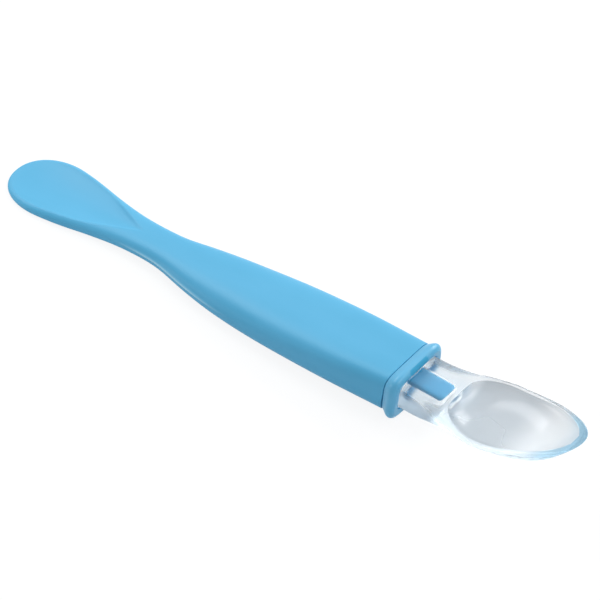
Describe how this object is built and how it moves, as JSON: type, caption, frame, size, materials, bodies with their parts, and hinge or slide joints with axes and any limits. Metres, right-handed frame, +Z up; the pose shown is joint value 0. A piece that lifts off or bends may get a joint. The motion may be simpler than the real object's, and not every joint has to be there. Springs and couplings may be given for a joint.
{
  "type": "baby spoon",
  "caption": "Baby feeding spoon with a cored blue grip, narrow waist and thumb paddle, a bull-nosed collar and a clear soft bowl that pulls off its tongue.",
  "frame": {"origin": "middle of the footprint, on the surface that the spoon rests on", "axes": "+X from the handle to the bowl, +Z up out of the bowl's hollow, +Y to the left of +X"},
  "size_m": [0.169, 0.0238, 0.0176],
  "materials": {
    "blue_plastic": "satin sky blue moulding",
    "blue_plastic_insert": "satin sky blue moulding",
    "clear_silicone": "clear glossy silicone"
  },
  "bodies": {
    "handle_body": {"handle": "blue_plastic", "collar_insert": "blue_plastic_insert"},
    "tip_body": {"silicone_tip": "clear_silicone"}
  },
  "joints": [
    {"name": "tip_pull_off", "type": "slide", "parent": "handle_body", "child": "tip_body", "axis": [1, 0, 0], "range_m": [0, 0.02]}
  ]
}
